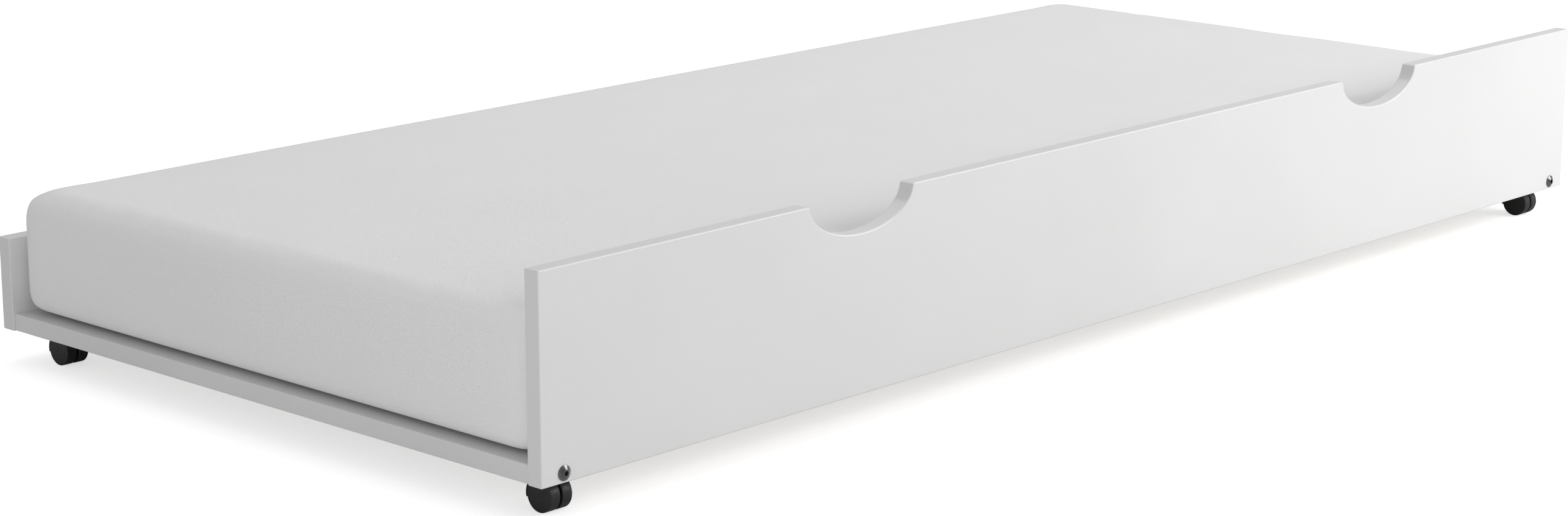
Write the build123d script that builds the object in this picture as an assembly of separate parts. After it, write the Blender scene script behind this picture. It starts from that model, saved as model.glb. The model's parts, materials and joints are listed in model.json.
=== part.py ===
from build123d import *
import math
import os

os.makedirs("parts", exist_ok=True)

# ---------------------------------------------------------------------------
# Trundle bed. Millimetres, +Z up, floor at z = 0, origin at the middle of the
# footprint. X runs along the bed, the tall front panel faces -Y.
# ---------------------------------------------------------------------------

# driving dimensions
BED_LENGTH = 2000.0           # over the side panels
BED_DEPTH = 948.0             # over the outer faces of the two panels
FLOOR_GAP = 40.0              # underside of the panels above the floor

PANEL_THICK = 20.5
FRONT_HEIGHT = 228.0
BACK_HEIGHT = 114.0
PANEL_CORNER = 2.2            # corner radius seen from the front
PANEL_EDGE = 1.7              # rounded-over edge

GRIP_WIDTH = 170.0            # half-ellipse hand cut-outs in the front panel
GRIP_DEPTH = 43.0
GRIP_FROM_END = 487.0
GRIP_LIP = 4.0

RAIL_WIDTH = 88.0             # end rails, laid flat between the panels
RAIL_THICK = 21.0
RAIL_INSET = 3.5              # outer edge behind the panel ends
RAIL_EDGE = 1.5

BOLT_FROM_END = 32.0          # one bolt and one dowel at each corner
BOLT_UP = 11.0
BOLT_HEAD = 17.0
BOLT_RIM = 0.8
BOLT_CONE = 2.6
BOLT_TOP = 8.0            # flat at the top of the cone, around the socket
BOLT_HEX = 5.0            # across the flats of the socket
BOLT_SHANK = 6.0
BOLT_INTO_RAIL = 42.0
NUT_SIZE = 10.0
NUT_LONG = 16.0
NUT_FROM_RAIL_END = 34.0
DOWEL_FROM_END = 63.0
DOWEL_SIZE = 8.0
DOWEL_IN_PANEL = 11.0
DOWEL_IN_RAIL = 19.0

CLEAT_WIDE = 20.0             # bearers fixed along the inside of each panel
CLEAT_HIGH = 15.0
CLEAT_SCREW_X = (70.0, 350.0, 630.0, 875.0)   # both ways from the middle
CLEAT_SCREW_LONG = 30.0

SLAT_COUNT = 13
SLAT_PITCH = 140.0
SLAT_WIDE = 68.0
SLAT_THICK = 13.0
SLAT_END_GAP = 2.0
SLAT_SCREW_LONG = 25.0
SCREW_SIZE = 3.5
SCREW_HEAD = 7.0

MATTRESS_LONG = 1986.0
MATTRESS_WIDE = 901.0
MATTRESS_HIGH = 144.0
MATTRESS_CORNER = 29.0        # seen from above
MATTRESS_TOP_ROUND = 28.0
MATTRESS_UNDER_ROUND = 17.0
COVER_THICK = 4.0

CASTER_FROM_END = 46.5        # swivel stem position at each corner
CASTER_FROM_FACE = 52.0
CASTER_TRAIL = 14.0           # axle behind the swivel stem, toward -Y
WHEEL_RADIUS = 18.5
WHEEL_WIDE = 13.5
WHEEL_GAP = 3.2
WHEEL_RIM = 3.2
WHEEL_FACE = 2.2
WHEEL_HUB = 9.0
AXLE_SIZE = 4.0
AXLE_LONG = 25.0
RUN_CLEAR = 0.05              # radial clearance where something turns
HOOD_INSIDE = 19.1
HOOD_OUTSIDE = 20.2
WEB_THICK = 2.2
STEM_SIZE = 6.0
STEM_IN_HOOD = 3.8
STEM_IN_SOCKET = 15.0
STEM_COLLAR = 11.0
SOCKET_SIZE = 11.0
SOCKET_LONG = 18.0
SOCKET_FLANGE = 17.0
SOCKET_FLANGE_THICK = 0.8

# derived positions
panel_mid_y = BED_DEPTH / 2 - PANEL_THICK / 2
inner_y = BED_DEPTH / 2 - PANEL_THICK
rail_long = 2 * inner_y
rail_mid_x = BED_LENGTH / 2 - RAIL_INSET - RAIL_WIDTH / 2
rail_inner_x = rail_mid_x - RAIL_WIDTH / 2
bolt_x = BED_LENGTH / 2 - BOLT_FROM_END
dowel_x = BED_LENGTH / 2 - DOWEL_FROM_END
bolt_z = FLOOR_GAP + BOLT_UP
stem_x = BED_LENGTH / 2 - CASTER_FROM_END
stem_y = BED_DEPTH / 2 - CASTER_FROM_FACE
slat_z = FLOOR_GAP + CLEAT_HIGH
mattress_z = slat_z + SLAT_THICK

corners = [("front_left", -1, -1), ("front_right", 1, -1),
           ("back_left", -1, 1), ("back_right", 1, 1)]


def save(shape, name):
    shape.label = name
    export_step(shape, f"parts/{name}.step")


def group(solids):
    return Compound(children=solids)


def along_y(radius, length, x, y, z):
    """Cylinder whose axis runs along Y, centred at the given point."""
    return Pos(x, y, z) * Rot(90, 0, 0) * Cylinder(radius, length)


def along_x(radius, low, high, y, z):
    return Pos((low + high) / 2, y, z) * Rot(0, 90, 0) * Cylinder(radius, high - low)


def upright(radius, low, high, x=0.0, y=0.0):
    return Pos(x, y, (low + high) / 2) * Cylinder(radius, high - low)


def screw_hole(length):
    """Countersunk hole pointing down -Z, mouth at z = 0."""
    head = Pos(0, 0, -1.1) * Cone(SCREW_SIZE / 2, SCREW_HEAD / 2, 2.2)
    return head + Pos(0, 0, -(length + 2.0) / 2) * Cylinder(SCREW_SIZE / 2, length - 2.0)


def countersunk_screw(length):
    """Fills its hole, with a crossed recess in the head."""
    recess = Pos(0, 0, -0.5) * (Box(3.6, 0.9, 1.0) + Box(0.9, 3.6, 1.0))
    return screw_hole(length) - recess


# --- side panels -------------------------------------------------------------

def panel(height, grips):
    face = Rectangle(BED_LENGTH, height)
    face = fillet(face.vertices(), PANEL_CORNER)
    if grips:
        grip_x = BED_LENGTH / 2 - GRIP_FROM_END
        for side in (-1, 1):
            face -= Pos(side * grip_x, height / 2) * Ellipse(GRIP_WIDTH / 2, GRIP_DEPTH)
        lips = [v for v in face.vertices()
                if abs(v.Y - height / 2) < 0.01 and abs(v.X) < BED_LENGTH / 2 - 50]
        face = fillet(lips, GRIP_LIP)
    board = extrude(face, PANEL_THICK / 2, both=True)
    flat = board.faces().sort_by(Axis.Z)
    board = fillet(flat[0].edges() + flat[-1].edges(), PANEL_EDGE)
    return Pos(0, 0, FLOOR_GAP + height / 2) * Rot(90, 0, 0) * board


def drill_panel(board, side):
    """Bolt clearance, bolt head seat and dowel hole at both ends."""
    for end in (-1, 1):
        board -= along_y(BOLT_SHANK / 2 + 0.3, 60, end * bolt_x, side * panel_mid_y, bolt_z)
        board -= along_y(DOWEL_SIZE / 2, 2 * DOWEL_IN_PANEL, end * dowel_x, side * inner_y, bolt_z)
    return board - along_cleat(screw_hole(CLEAT_SCREW_LONG), side)


# --- screws ------------------------------------------------------------------

def along_cleat(shape, side):
    """Copies driven through the cleat into the panel, heads on the inner side."""
    y = side * (inner_y - CLEAT_WIDE)
    return [Pos(end * x, y, FLOOR_GAP + CLEAT_HIGH / 2) * Rot(side * 90, 0, 0) * shape
            for x in CLEAT_SCREW_X for end in (-1, 1)]


def slat_x(k):
    return (k - (SLAT_COUNT - 1) / 2) * SLAT_PITCH


def at_slat_ends(shape, k):
    """A copy at each end of a slat, going down into the cleat."""
    return [Pos(slat_x(k), side * (inner_y - CLEAT_WIDE / 2), mattress_z) * shape
            for side in (-1, 1)]


slat_screw = countersunk_screw(SLAT_SCREW_LONG)
slat_hole = screw_hole(SLAT_SCREW_LONG)
cleat_screw = countersunk_screw(CLEAT_SCREW_LONG)
cleat_hole = screw_hole(CLEAT_SCREW_LONG)

# --- panels, cleats and slats ------------------------------------------------

save(drill_panel(Pos(0, -panel_mid_y, 0) * panel(FRONT_HEIGHT, True), -1), "front_panel")
save(drill_panel(Pos(0, panel_mid_y, 0) * panel(BACK_HEIGHT, False), 1), "back_panel")

for name, side in (("front_cleat", -1), ("back_cleat", 1)):
    cleat = Pos(0, side * (inner_y - CLEAT_WIDE / 2), FLOOR_GAP + CLEAT_HIGH / 2) \
        * Box(2 * rail_inner_x, CLEAT_WIDE, CLEAT_HIGH)
    corner = cleat.edges().filter_by(Axis.X).sort_by(lambda e: side * e.center().Y)[:2]
    cleat = chamfer(corner, 1.0)
    cleat -= along_cleat(cleat_hole, side)
    save(cleat - [hole for k in range(SLAT_COUNT) for hole in at_slat_ends(slat_hole, k)], name)

for k in range(SLAT_COUNT):
    slat = Pos(slat_x(k), 0, slat_z + SLAT_THICK / 2) \
        * Box(SLAT_WIDE, rail_long - 2 * SLAT_END_GAP, SLAT_THICK)
    slat = fillet(slat.edges().filter_by(Axis.Y), 2.0)
    save(slat - at_slat_ends(slat_hole, k), f"slat_{k + 1:02d}")

save(group([s for k in range(SLAT_COUNT) for s in at_slat_ends(slat_screw, k)]), "slat_screws")
save(group(along_cleat(cleat_screw, -1) + along_cleat(cleat_screw, 1)), "cleat_screws")

# --- end rails ---------------------------------------------------------------

def socket_outside(x, y):
    return upright(SOCKET_SIZE / 2, FLOOR_GAP, FLOOR_GAP + SOCKET_LONG, x, y)


nut_y = inner_y - NUT_FROM_RAIL_END
nut_low = bolt_z - NUT_LONG / 2
nut_high = bolt_z + NUT_LONG / 2

for name, end in (("left_end_rail", -1), ("right_end_rail", 1)):
    rail = Pos(end * rail_mid_x, 0, FLOOR_GAP + RAIL_THICK / 2) \
        * Box(RAIL_WIDTH, rail_long, RAIL_THICK)
    rail = fillet(rail.edges().filter_by(Axis.Y), RAIL_EDGE)
    for side in (-1, 1):
        rail -= along_y(BOLT_SHANK / 2 + 0.3, 2 * BOLT_INTO_RAIL + 8, end * bolt_x,
                        side * inner_y, bolt_z)
        rail -= along_y(DOWEL_SIZE / 2, 2 * DOWEL_IN_RAIL, end * dowel_x, side * inner_y, bolt_z)
        rail -= upright(NUT_SIZE / 2, FLOOR_GAP - 1, nut_high, end * bolt_x, side * nut_y)
        rail -= socket_outside(end * stem_x, side * stem_y)
    save(rail, name)

# --- bolts, barrel nuts and dowels -------------------------------------------

shank_long = PANEL_THICK + BOLT_INTO_RAIL
bolt = upright(BOLT_HEAD / 2, 0, BOLT_RIM) \
    + Pos(0, 0, BOLT_RIM + BOLT_CONE / 2) * Cone(BOLT_HEAD / 2, BOLT_TOP / 2, BOLT_CONE)
bolt = fillet(bolt.edges().filter_by(GeomType.CIRCLE).sort_by(Axis.Z)[-1], 0.6)
bolt -= Pos(0, 0, BOLT_RIM + BOLT_CONE - 2.8) \
    * extrude(RegularPolygon(BOLT_HEX / 2, 6, major_radius=False), 4.0)
bolt += upright(BOLT_SHANK / 2, -shank_long, 0)

bolts, nuts, dowels = [], [], []
for name, end, side in corners:
    x, y = end * bolt_x, side * BED_DEPTH / 2
    bolts.append(Pos(x, y, bolt_z) * Rot(-side * 90, 0, 0) * bolt)
    nut = upright(NUT_SIZE / 2, nut_low, nut_high, x, side * nut_y)
    nut -= Pos(x, side * nut_y, nut_low + 0.8) * Box(NUT_SIZE + 2, 1.4, 1.6)
    nuts.append(nut - along_y(BOLT_SHANK / 2, 2 * NUT_SIZE, x, side * nut_y, bolt_z))
    dowels.append(along_y(DOWEL_SIZE / 2, DOWEL_IN_PANEL + DOWEL_IN_RAIL - 2, end * dowel_x,
                          side * (inner_y + (DOWEL_IN_PANEL - DOWEL_IN_RAIL) / 2), bolt_z))
save(group(bolts), "bolts")
save(group(nuts), "barrel_nuts")
save(group(dowels), "dowels")

# --- casters -----------------------------------------------------------------
# drawn around the swivel axis at x = y = 0, axle toward -Y

axle_y = -CASTER_TRAIL
axle_z = WHEEL_RADIUS
hood_top = axle_z + HOOD_OUTSIDE
half_caster = WHEEL_GAP / 2 + WHEEL_WIDE


def wedge(radius, low, high):
    """Slice of a disc around the axle, on the stem side from below level to past the top."""
    sweep = [(radius * 1.6 * math.cos(math.radians(a)), radius * 1.6 * math.sin(math.radians(a)))
             for a in range(-14, 97, 10)]
    slice_face = Circle(radius) & make_face(Polyline([(0, 0)] + sweep, close=True))
    solid = extrude(slice_face, (high - low) / 2, both=True)
    return Pos((low + high) / 2, axle_y, axle_z) * Rot(0, 0, 90) * Rot(90, 0, 0) * solid


def caster_housing():
    hood_half = half_caster - 0.4
    hood = wedge(HOOD_OUTSIDE, -hood_half, hood_half) \
        - along_x(HOOD_INSIDE, -half_caster, half_caster, axle_y, axle_z)
    web = wedge(HOOD_INSIDE + 0.4, -WEB_THICK / 2, WEB_THICK / 2) \
        + along_x(7.0, -WEB_THICK / 2, WEB_THICK / 2, axle_y, axle_z)
    boss = upright(7.0, axle_z + 3.0, hood_top) \
        - along_x(HOOD_INSIDE + 0.2, -half_caster, half_caster, axle_y, axle_z)
    body = hood + web + boss
    body -= along_x(AXLE_SIZE / 2, -half_caster, half_caster, axle_y, axle_z)
    return body - upright(STEM_SIZE / 2, hood_top - STEM_IN_HOOD, hood_top + 1)


def caster_wheel(side):
    inner = WHEEL_GAP / 2
    outer = inner + WHEEL_WIDE
    wheel = Pos(inner + WHEEL_WIDE / 2, 0, 0) * Rot(0, 90, 0) * Cylinder(WHEEL_RADIUS, WHEEL_WIDE)
    rims = wheel.edges().filter_by(GeomType.CIRCLE)
    wheel = fillet(rims, 1.2)
    hollow = along_x(WHEEL_RADIUS - WHEEL_RIM, inner - 1, outer - WHEEL_FACE, 0, 0) \
        - along_x(WHEEL_HUB / 2, inner - 2, outer, 0, 0)
    wheel -= hollow
    wheel -= along_x(AXLE_SIZE / 2 + RUN_CLEAR, 0, AXLE_LONG / 2 + 0.3, 0, 0)
    turned = wheel if side > 0 else Rot(0, 0, 180) * wheel
    return Pos(0, axle_y, axle_z) * turned


def caster_stem():
    top = FLOOR_GAP - SOCKET_FLANGE_THICK + STEM_IN_SOCKET
    stem = upright(STEM_SIZE / 2, hood_top - STEM_IN_HOOD, top)
    stem = chamfer(stem.edges().filter_by(GeomType.CIRCLE).sort_by(Axis.Z)[-1], 0.8)
    return stem + upright(STEM_COLLAR / 2, hood_top, FLOOR_GAP - SOCKET_FLANGE_THICK - 0.05)


def caster_socket():
    low = FLOOR_GAP - SOCKET_FLANGE_THICK
    sleeve = socket_outside(0, 0) + upright(SOCKET_FLANGE / 2, low, FLOOR_GAP)
    return sleeve - upright(STEM_SIZE / 2 + RUN_CLEAR, low - 1, low + STEM_IN_SOCKET + 1.5)


caster = {
    "socket": caster_socket(),
    "stem": caster_stem(),
    "housing": caster_housing(),
    "axle": along_x(AXLE_SIZE / 2, -AXLE_LONG / 2, AXLE_LONG / 2, axle_y, axle_z),
    "outer_wheel": caster_wheel(-1),
    "inner_wheel": caster_wheel(1),
}
for name, end, side in corners:
    for piece, solid in caster.items():
        half = piece
        if piece.endswith("wheel") and end > 0:
            half = "inner_wheel" if piece == "outer_wheel" else "outer_wheel"
        save(Pos(end * stem_x, side * stem_y, 0) * solid, f"{name}_{half}")

# --- mattress ----------------------------------------------------------------

def cushion(inset):
    block = Box(MATTRESS_LONG - 2 * inset, MATTRESS_WIDE - 2 * inset, MATTRESS_HIGH - 2 * inset)
    block = fillet(block.edges().filter_by(Axis.Z), MATTRESS_CORNER - inset)
    block = fillet(block.faces().sort_by(Axis.Z)[-1].edges(), MATTRESS_TOP_ROUND - inset)
    block = fillet(block.faces().sort_by(Axis.Z)[0].edges(), MATTRESS_UNDER_ROUND - inset)
    return Pos(0, 0, mattress_z + MATTRESS_HIGH / 2) * block


save(cushion(COVER_THICK), "mattress_core")
save(cushion(0) - cushion(COVER_THICK), "mattress_cover")
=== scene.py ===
"""Trundle bed: looks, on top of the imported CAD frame. Metres, +Z up, X along the bed, front at -Y."""
import json
import math

import bpy
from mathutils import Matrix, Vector, noise


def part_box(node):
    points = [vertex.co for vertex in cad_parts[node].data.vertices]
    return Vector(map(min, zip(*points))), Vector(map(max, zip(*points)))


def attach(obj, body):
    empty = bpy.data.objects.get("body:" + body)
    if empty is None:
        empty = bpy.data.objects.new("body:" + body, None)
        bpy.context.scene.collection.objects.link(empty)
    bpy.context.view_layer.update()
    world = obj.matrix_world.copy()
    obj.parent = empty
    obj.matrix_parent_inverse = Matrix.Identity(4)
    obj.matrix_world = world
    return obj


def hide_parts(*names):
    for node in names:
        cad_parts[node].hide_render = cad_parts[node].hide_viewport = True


MM = 0.001

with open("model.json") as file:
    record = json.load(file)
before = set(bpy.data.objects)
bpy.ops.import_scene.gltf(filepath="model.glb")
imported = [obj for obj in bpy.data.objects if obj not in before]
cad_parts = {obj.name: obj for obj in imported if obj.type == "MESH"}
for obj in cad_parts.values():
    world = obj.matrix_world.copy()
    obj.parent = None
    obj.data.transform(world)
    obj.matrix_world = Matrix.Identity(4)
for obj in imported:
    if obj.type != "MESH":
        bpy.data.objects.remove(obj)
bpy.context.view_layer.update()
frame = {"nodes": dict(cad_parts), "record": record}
nodes = frame["nodes"]


# --- material helpers ---------------------------------------------------------

class Shader:
    """A Principled material whose colour, roughness and bump come from nodes in object space."""

    # |normal| between which a rounded edge passes from one face to the next
    EDGE_TURN = (0.66, 0.74)

    def __init__(self, name, roughness=0.5, metallic=0.0, **sockets):
        self.material = bpy.data.materials.new(name)
        self.material.use_nodes = True
        self.tree = self.material.node_tree
        self.surface = self.tree.nodes["Principled BSDF"]
        self.surface.inputs["Roughness"].default_value = roughness
        self.surface.inputs["Metallic"].default_value = metallic
        for socket, value in sockets.items():
            self.surface.inputs[socket.replace("_", " ")].default_value = value
        self.place = self.add("ShaderNodeTexCoord").outputs["Object"]
        self.normal = None

    def add(self, kind, **settings):
        node = self.tree.nodes.new(kind)
        for name, value in settings.items():
            setattr(node, name, value)
        return node

    def link(self, source, target):
        self.tree.links.new(source, target)

    def feed(self, socket, value):
        """Links value to socket, or sets it there when it is a number or a colour."""
        if isinstance(value, (int, float)):
            socket.default_value = value
        elif isinstance(value, tuple):
            socket.default_value = (*value, 1.0)
        else:
            self.link(value, socket)

    def along_grain(self, axis, across, length):
        """Coordinates in which a feature is across metres wide and length metres long on axis."""
        scale = [1.0 / across] * 3
        scale["XYZ".index(axis)] = 1.0 / length
        mapping = self.add("ShaderNodeMapping")
        mapping.inputs["Scale"].default_value = scale
        self.link(self.place, mapping.inputs["Vector"])
        return mapping.outputs["Vector"]

    def noise(self, size, detail=3.0, rough=0.5, distort=0.0, where=None):
        """Noise whose features are about size metres across, or 1 in the coordinates of where."""
        tex = self.add("ShaderNodeTexNoise")
        tex.inputs["Scale"].default_value = 1.0 / size
        tex.inputs["Detail"].default_value = detail
        tex.inputs["Roughness"].default_value = rough
        tex.inputs["Distortion"].default_value = distort
        self.link(where or self.place, tex.inputs["Vector"])
        return tex.outputs["Fac"]

    def ramp(self, value, *stops):
        """Colour ramp of (position, colour) stops."""
        node = self.add("ShaderNodeValToRGB")
        elements = node.color_ramp.elements
        while len(elements) < len(stops):
            elements.new(0.5)
        for element, (position, colour) in zip(elements, stops):
            element.position = position
            element.color = (*colour, 1.0)
        self.link(value, node.inputs["Fac"])
        return node.outputs["Color"]

    def spread(self, value, low, high, start=0.0, end=1.0):
        """value from start..end mapped to low..high."""
        node = self.add("ShaderNodeMapRange")
        for socket, number in (("From Min", start), ("From Max", end),
                               ("To Min", low), ("To Max", high)):
            node.inputs[socket].default_value = number
        self.link(value, node.inputs["Value"])
        return node.outputs["Result"]

    def math(self, operation, *values):
        node = self.add("ShaderNodeMath", operation=operation)
        for socket, value in zip(node.inputs, values):
            self.feed(socket, value)
        return node.outputs["Value"]

    def mix(self, fac, first, second):
        """Colour first where fac is 0, second where it is 1."""
        node = self.add("ShaderNodeMix", data_type="RGBA")
        for socket, value in (("Factor", fac), ("A", first), ("B", second)):
            self.feed(node.inputs[socket], value)
        return node.outputs[2]

    def blend(self, fac, first, second):
        """Value first where fac is 0, second where it is 1."""
        node = self.add("ShaderNodeMix", data_type="FLOAT")
        for socket, value in (("Factor", fac), ("A", first), ("B", second)):
            self.feed(node.inputs[socket], value)
        return node.outputs[0]

    def edge_wear(self, low, high):
        """1 on convex edges, 0 on flats."""
        pointed = self.add("ShaderNodeNewGeometry").outputs["Pointiness"]
        return self.spread(pointed, 0.0, 1.0, low, high)

    def facing(self, axis):
        """1 where the surface faces along axis, 0 elsewhere."""
        split = self.add("ShaderNodeSeparateXYZ")
        self.link(self.add("ShaderNodeTexCoord").outputs["Normal"], split.inputs["Vector"])
        return self.spread(self.math("ABSOLUTE", split.outputs[axis]), 0.0, 1.0, *self.EDGE_TURN)

    def knit(self, across, along, column, course):
        """Columns of V-shaped stitches, column metres wide, with rows course metres apart."""
        slant, stitch_height, yarn_height = 4.5, 0.3, 0.4
        offset = self.math("FRACT", self.math("MULTIPLY", across, 1.0 / column))
        side = self.math("MULTIPLY", self.math("ABSOLUTE", self.math("SUBTRACT", offset, 0.5)), 2.0)
        phase = self.math("ADD", self.math("MULTIPLY", along, math.tau / course),
                          self.math("MULTIPLY", side, slant))
        stitch = self.math("MULTIPLY_ADD", self.math("SINE", phase), stitch_height, stitch_height)
        yarn = self.math("SINE", self.math("MULTIPLY", side, math.pi))
        return self.math("ADD", stitch, self.math("MULTIPLY", yarn, yarn_height))

    def knit_all_round(self, column, course):
        """The same knit laid on the top, the ends and the long sides, joined along the edges."""
        split = self.add("ShaderNodeSeparateXYZ")
        self.link(self.place, split.inputs["Vector"])
        x, y, z = (split.outputs[axis] for axis in "XYZ")
        ends = self.knit(y, z, column, course)
        long_sides = self.knit(x, z, column, course)
        top = self.knit(y, x, column, course)
        return self.blend(self.facing("Z"), self.blend(self.facing("Y"), ends, long_sides), top)

    def colour(self, source):
        self.link(source, self.surface.inputs["Base Color"])

    def roughness(self, source):
        self.link(source, self.surface.inputs["Roughness"])

    def bump(self, height, depth):
        """Adds relief of the given depth in metres."""
        node = self.add("ShaderNodeBump")
        node.inputs["Strength"].default_value = 1.0
        node.inputs["Distance"].default_value = depth
        self.link(height, node.inputs["Height"])
        if self.normal:
            self.link(self.normal, node.inputs["Normal"])
        self.normal = node.outputs["Normal"]
        self.link(self.normal, self.surface.inputs["Normal"])


def shaded(colour, factor):
    return tuple(channel * factor for channel in colour)


# --- materials ----------------------------------------------------------------

def white_lacquer(name, white, grain_axis):
    """Sprayed satin lacquer: fine orange peel, faint grain showing through, cut ends painted darker as
    painted shade and made duller.
    """
    s = Shader(name, roughness=0.38, Coat_Weight=0.15, Coat_Roughness=0.22)
    fibres = s.along_grain(grain_axis, across=4 * MM, length=220 * MM)
    grain = s.noise(1.0, detail=4.0, rough=0.6, distort=0.4, where=fibres)
    cloud = s.noise(350 * MM, detail=2.0)
    even_coat = s.ramp(cloud, (0.3, shaded(white, 0.965)), (0.7, shaded(white, 1.012)))
    grain_showing = s.spread(grain, 0.0, 0.05, 0.5, 0.75)
    grained = s.mix(grain_showing, even_coat, shaded(white, 0.9))
    # painted shade: faces along the grain axis (the board ends) get a darker colour standing in for the
    # shade that falls there; they are also made rougher
    painted_shade_and_dull_ends = s.facing(grain_axis)
    s.colour(s.mix(painted_shade_and_dull_ends, grained, shaded(white, 0.87)))
    satin = s.spread(s.noise(20 * MM), 0.33, 0.43, 0.3, 0.7)
    s.roughness(s.math("ADD", satin, s.math("MULTIPLY", painted_shade_and_dull_ends, 0.12)))
    s.bump(grain, 0.05 * MM)
    orange_peel = s.noise(1.6 * MM, detail=2.0)
    s.bump(orange_peel, 0.03 * MM)
    return s.material


def pine(name, grain_axis, shade=1.0):
    """Planed softwood: growth rings drawn out along the grain, fine pores and a few warm streaks."""
    early_wood, late_wood = shaded((0.83, 0.68, 0.47), shade), shaded((0.70, 0.50, 0.29), shade)
    streak, pore = shaded((0.76, 0.59, 0.38), shade), shaded((0.56, 0.39, 0.22), shade)
    s = Shader(name, roughness=0.55)
    wide = s.along_grain(grain_axis, across=22 * MM, length=550 * MM)
    rings = s.noise(1.0, rough=0.55, distort=1.6, where=wide)
    bands = s.math("FRACT", s.math("MULTIPLY", rings, 9.0))
    fine = s.along_grain(grain_axis, across=1.1 * MM, length=30 * MM)
    pores = s.noise(1.0, detail=2.0, rough=0.6, where=fine)
    wood = s.ramp(bands, (0.0, early_wood), (0.62, early_wood), (0.93, late_wood), (1.0, early_wood))
    streaked = s.mix(s.spread(s.noise(400 * MM, detail=2.0), 0.0, 0.35, 0.35, 0.65), wood, streak)
    s.colour(s.mix(s.spread(pores, 0.0, 0.4, 0.56, 0.75), streaked, pore))
    s.roughness(s.spread(bands, 0.5, 0.62))
    s.bump(bands, 0.05 * MM)
    s.bump(pores, 0.06 * MM)
    return s.material


def mattress_ticking(name):
    """Fine white jersey knit: V stitches in narrow columns, soft fuzz, gentle shading and painted shade
    between the yarns.
    """
    s = Shader(name, roughness=0.88, Sheen_Weight=0.25, Sheen_Roughness=0.45,
               Specular_IOR_Level=0.25)
    weave = s.knit_all_round(column=1.9 * MM, course=1.3 * MM)
    fuzz = s.noise(0.7 * MM, detail=2.0)
    cloud = s.noise(160 * MM, rough=0.55)
    white = s.ramp(cloud, (0.3, (0.895, 0.895, 0.895)), (0.7, (0.91, 0.91, 0.908)))
    # painted shade: the hollows of the knit between the yarns are darkened in colour, standing in for
    # the shade that falls into them
    painted_shade_between_yarns = s.spread(weave, 0.12, 0.0, 0.2, 0.9)
    s.colour(s.mix(painted_shade_between_yarns, white, (0.60, 0.60, 0.60)))
    s.roughness(s.spread(fuzz, 0.82, 0.95, 0.3, 0.7))
    s.bump(weave, 0.16 * MM)
    s.bump(fuzz, 0.08 * MM)
    dimples = s.noise(50 * MM, detail=2.0)
    s.bump(dimples, 0.25 * MM)
    return s.material


def moulded_plastic(name, black, rough, worn=0.0):
    """Black moulded plastic with fine spark texture, faint dust and paler rubbed edges."""
    s = Shader(name, roughness=rough, Specular_IOR_Level=0.42)
    dusty, rubbed = shaded((2.1, 2.05, 2.0), black), shaded((4.5, 4.4, 4.3), black)
    dust = s.spread(s.noise(9 * MM, detail=4.0, rough=0.65), 0.0, 0.35, 0.48, 0.8)
    base = s.mix(dust, shaded((1.0, 1.0, 1.03), black), dusty)
    if worn:
        base = s.mix(s.math("MULTIPLY", s.edge_wear(0.52, 0.62), worn), base, rubbed)
    s.colour(base)
    s.roughness(s.spread(s.noise(4 * MM), rough - 0.07, rough + 0.09, 0.3, 0.7))
    spark_texture = s.noise(0.5 * MM, detail=2.0)
    s.bump(spark_texture, 0.02 * MM)
    return s.material


def metal(name, shade, rough, streak_axis):
    """Plated or turned metal: fine drawn streaks and slightly uneven roughness."""
    s = Shader(name, roughness=rough, metallic=1.0)
    drawn = s.along_grain(streak_axis, across=0.25 * MM, length=6 * MM)
    streaks = s.noise(1.0, rough=0.6, where=drawn)
    s.colour(s.ramp(s.noise(3 * MM), (0.3, shaded(shade, 0.85)), (0.7, shade)))
    s.roughness(s.spread(streaks, rough - 0.08, rough + 0.12, 0.3, 0.7))
    s.bump(streaks, 0.01 * MM)
    return s.material


def black_coated_steel(name):
    """Black oxide under a thin oil film, with bare metal just starting at the edges."""
    bare_steel = (0.30, 0.29, 0.28)
    s = Shader(name, roughness=0.3, metallic=0.25, Specular_IOR_Level=0.9, Coat_Weight=1.0,
               Coat_Roughness=0.12)
    wear = s.math("MULTIPLY", s.edge_wear(0.53, 0.66), s.noise(1.5 * MM))
    oxide = s.ramp(s.noise(2.5 * MM), (0.3, (0.018, 0.018, 0.019)), (0.7, (0.035, 0.035, 0.036)))
    s.colour(s.mix(wear, oxide, bare_steel))
    s.roughness(s.spread(s.noise(0.8 * MM), 0.22, 0.36, 0.3, 0.7))
    s.bump(s.noise(0.35 * MM, detail=2.0), 0.012 * MM)
    return s.material


ticking = mattress_ticking("mattress_ticking")
pine_along_bed = pine("pine_along_bed", "X", 0.97)
finishes = {
    "white_lacquer_panel": white_lacquer("white_lacquer_panel", (0.82, 0.82, 0.817), "X"),
    # painted shade: the rail's lacquer is given a darker white than the panel's, standing in for the
    # dimmer light on the rail
    "white_lacquer_rail": white_lacquer("white_lacquer_rail", (0.73, 0.73, 0.727), "Y"),
    "bare_pine": pine("pine_across_bed", "Y"),
    "zinc_screw": metal("zinc_screw", (0.66, 0.66, 0.63), 0.32, "Z"),
    "black_steel": black_coated_steel("black_steel"),
    "bright_steel": metal("bright_steel", (0.62, 0.62, 0.61), 0.3, "Z"),
    "beech_dowel": pine("beech_dowel", "Y", 0.85),
    "foam": ticking,
    "mattress_fabric": ticking,
    "black_wheel": moulded_plastic("black_wheel", 0.013, 0.46, 0.35),
    "black_housing": moulded_plastic("black_housing", 0.016, 0.52, 0.2),
    "socket_plastic": moulded_plastic("socket_plastic", 0.02, 0.55),
    "caster_steel": metal("caster_steel", (0.58, 0.58, 0.57), 0.3, "X"),
}
slot_of = {part["node"]: part["material_slot"] for part in frame["record"]["subparts"]}

for node, obj in nodes.items():
    finish = pine_along_bed if node.endswith("_cleat") else finishes[slot_of[node]]
    obj.data.materials.clear()
    obj.data.materials.append(finish)


# --- mattress -----------------------------------------------------------------

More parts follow.
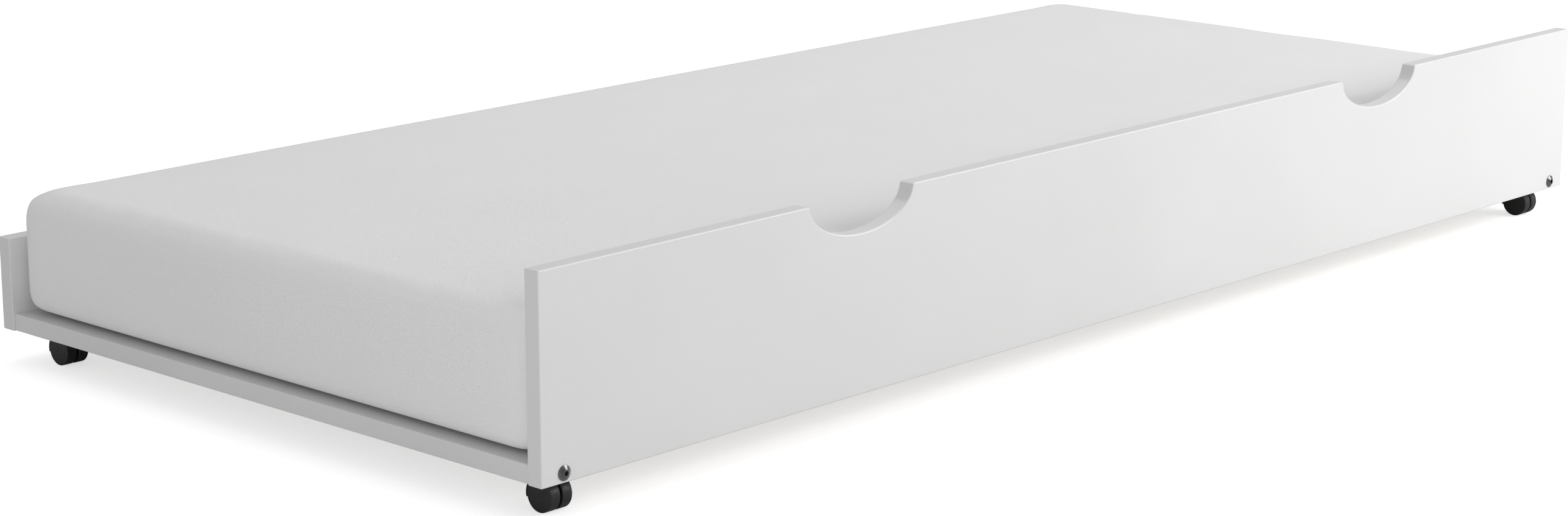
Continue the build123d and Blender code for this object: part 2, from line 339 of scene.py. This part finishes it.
VOXEL = 10 * MM
COVER = 3.6 * MM              # the cover stands this far out from the CAD foam core
SLACK = 1.0 * MM              # how much the cover may hang back or bulge at the sides
CROWN = 5 * MM                # extra height in the middle of the top
RIPPLE = 0.8 * MM             # unevenness of that height
RIPPLES_PER_METRE = 6.0
SAG = 6 * MM                  # how far the underside hangs where no slat carries it
CLOTH_STEPS = 20


def apply_modifiers(obj):
    flat = bpy.data.meshes.new_from_object(obj.evaluated_get(bpy.context.evaluated_depsgraph_get()))
    obj.modifiers.clear()
    obj.data = flat


def foam_block():
    """A closed copy of the CAD foam core, evenly remeshed."""
    obj = bpy.data.objects.new("mattress", nodes["mattress_core"].data.copy())
    bpy.context.scene.collection.objects.link(obj)
    remesh = obj.modifiers.new("remesh", "REMESH")
    remesh.mode, remesh.voxel_size = "VOXEL", VOXEL
    apply_modifiers(obj)
    return obj


def puff(obj):
    """Cloth under pressure, as a filled cover behaves."""
    cloth = obj.modifiers.new("cloth", "CLOTH")
    settings = cloth.settings
    settings.quality = 5
    settings.mass = 0.3
    settings.use_pressure = True
    settings.uniform_pressure_force = 4.0
    settings.tension_stiffness = settings.compression_stiffness = 25.0
    settings.shear_stiffness = 15.0
    settings.bending_stiffness = 2.0
    settings.effector_weights.gravity = 0.0
    cloth.collision_settings.use_self_collision = False
    cloth.point_cache.frame_start, cloth.point_cache.frame_end = 1, CLOTH_STEPS
    scene = bpy.context.scene
    for step in range(1, CLOTH_STEPS + 1):
        scene.frame_set(step)
    apply_modifiers(obj)
    scene.frame_set(1)


def cover_foam(obj, middle, half):
    """Moves the puffed foam out to the cover, with a crowned top, and smooths it."""
    foam = [(vertex.co.copy(), vertex.normal.copy()) for vertex in obj.data.vertices]
    puff(obj)
    for vertex, (rest, out) in zip(obj.data.vertices, foam):
        u, v = ((rest[i] - middle[i]) / half[i] for i in (0, 1))
        dome = max(0.0, (1 - u ** 6) * (1 - v ** 4)) * max(0.0, out.z)
        swell = (vertex.co - rest).dot(out) - 2 * SLACK
        ripple = noise.noise(rest * RIPPLES_PER_METRE) * RIPPLE
        reach = COVER + max(-SLACK, min(SLACK, swell)) + dome * (CROWN + ripple)
        vertex.co = rest + out * reach
    smooth = obj.modifiers.new("smooth", "SMOOTH")
    smooth.iterations, smooth.factor = 3, 0.5
    rounder = obj.modifiers.new("subdivision", "SUBSURF")
    rounder.levels = rounder.render_levels = 1
    apply_modifiers(obj)


def mattress():
    """Foam block in a fitted cover: puffed by cloth, flat on the slats, drooping past the last one."""
    low, high = (Vector(corner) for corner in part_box("mattress_cover"))
    obj = foam_block()
    cover_foam(obj, (low + high) / 2, (high - low) / 2)
    last_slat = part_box("slat_01")[0][0]
    for vertex in obj.data.vertices:
        for i in (0, 1):
            vertex.co[i] = max(low[i], min(high[i], vertex.co[i]))
        overhang = max(0.0, (abs(vertex.co.x) + last_slat) / (high.x + last_slat))
        height = (vertex.co.z - low.z) / (high.z - low.z)
        vertex.co.z = max(low.z, vertex.co.z) - SAG * overhang ** 1.5 * max(0.0, 1 - 2 * height)
    obj.data.polygons.foreach_set("use_smooth", [True] * len(obj.data.polygons))
    obj.data.materials.clear()
    obj.data.materials.append(ticking)
    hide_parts("mattress_core", "mattress_cover")
    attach(obj, "mattress")


mattress()


# --- floor, light and camera --------------------------------------------------

def floor():
    """Wide pale floor, brightened for the camera alone so that it reads as a white studio."""
    reach, glow = 30.0, 0.62
    mesh = bpy.data.meshes.new("floor")
    mesh.from_pydata([(-reach, -reach, 0), (reach, -reach, 0), (reach, reach, 0),
                      (-reach, reach, 0)], [], [(0, 1, 2, 3)])
    obj = bpy.data.objects.new("floor", mesh)
    bpy.context.scene.collection.objects.link(obj)
    s = Shader("floor", roughness=0.95, Specular_IOR_Level=0.1, Emission_Color=(1, 1, 1, 1))
    s.colour(s.ramp(s.noise(1.5, detail=2.0), (0.3, (0.79, 0.79, 0.79)), (0.7, (0.80, 0.80, 0.80))))
    seen = s.add("ShaderNodeLightPath").outputs["Is Camera Ray"]
    s.link(s.math("MULTIPLY", seen, glow), s.surface.inputs["Emission Strength"])
    mesh.materials.append(s.material)


def soft_light(name, position, target, size, watts):
    data = bpy.data.lights.new(name, "AREA")
    data.shape, data.size, data.size_y, data.energy = "RECTANGLE", size[0], size[1], watts
    obj = bpy.data.objects.new(name, data)
    obj.location = position
    obj.rotation_euler = (Vector(target) - Vector(position)).to_track_quat("-Z", "Y").to_euler()
    bpy.context.scene.collection.objects.link(obj)


def camera():
    """Three-quarter view from the front left, a little above the mattress."""
    yaw, pitch, lens = math.radians(46.95), math.radians(13.44), 76.2
    data = bpy.data.cameras.new("camera")
    data.lens, data.sensor_width, data.sensor_fit = lens, 36.0, "HORIZONTAL"
    data.clip_start, data.clip_end = 0.1, 200.0
    obj = bpy.data.objects.new("camera", data)
    obj.location = (-3.1826, -2.8494, 1.0503)
    obj.rotation_euler = (math.pi / 2 - pitch, 0.0, -yaw)
    bpy.context.scene.collection.objects.link(obj)
    bpy.context.scene.camera = obj


def studio_world(strength):
    world = bpy.data.worlds.new("studio")
    world.use_nodes = True
    background = world.node_tree.nodes["Background"]
    background.inputs["Color"].default_value = (1.0, 1.0, 1.0, 1.0)
    background.inputs["Strength"].default_value = strength
    bpy.context.scene.world = world


floor()
soft_light("key", (2.9, -3.3, 1.9), (0.7, 0.0, 0.15), size=(2.4, 2.0), watts=110)
soft_light("top", (0.6, 0.6, 4.0), (0.0, 0.0, 0.2), size=(4.5, 4.0), watts=50)
soft_light("left_fill", (-3.2, -1.25, 0.45), (-1.0, -0.3, 0.08), size=(1.5, 0.7), watts=11)
camera()
studio_world(strength=0.43)
bpy.context.scene.view_settings.view_transform = "Standard"
